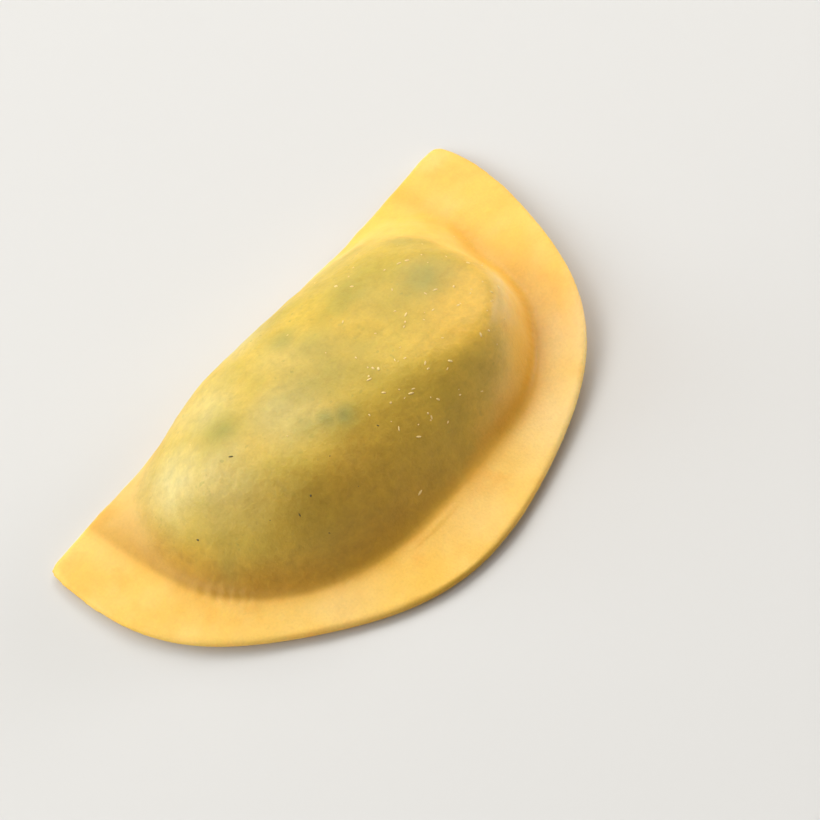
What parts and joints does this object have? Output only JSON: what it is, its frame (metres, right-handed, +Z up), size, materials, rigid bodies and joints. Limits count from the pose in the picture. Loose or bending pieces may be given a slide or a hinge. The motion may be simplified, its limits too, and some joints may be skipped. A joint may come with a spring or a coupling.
{
  "type": "half-moon raviolo",
  "caption": "Half-moon filled pasta: a plump bulge closed by a fold along its straight side, inside a flat pressed rim along its curved side.",
  "frame": {"origin": "middle of the bounding box, on the table that the raviolo lies on", "axes": "+X along the fold, -Y towards the curved rim, +Z up through the bulge"},
  "size_m": [0.072, 0.0406, 0.0124],
  "materials": {
    "egg_dough": "moist cooked egg pasta, satin, with the green filling showing through the thin dough of the bulge"
  },
  "bodies": {
    "root": {"raviolo": "egg_dough"}
  },
  "joints": []
}
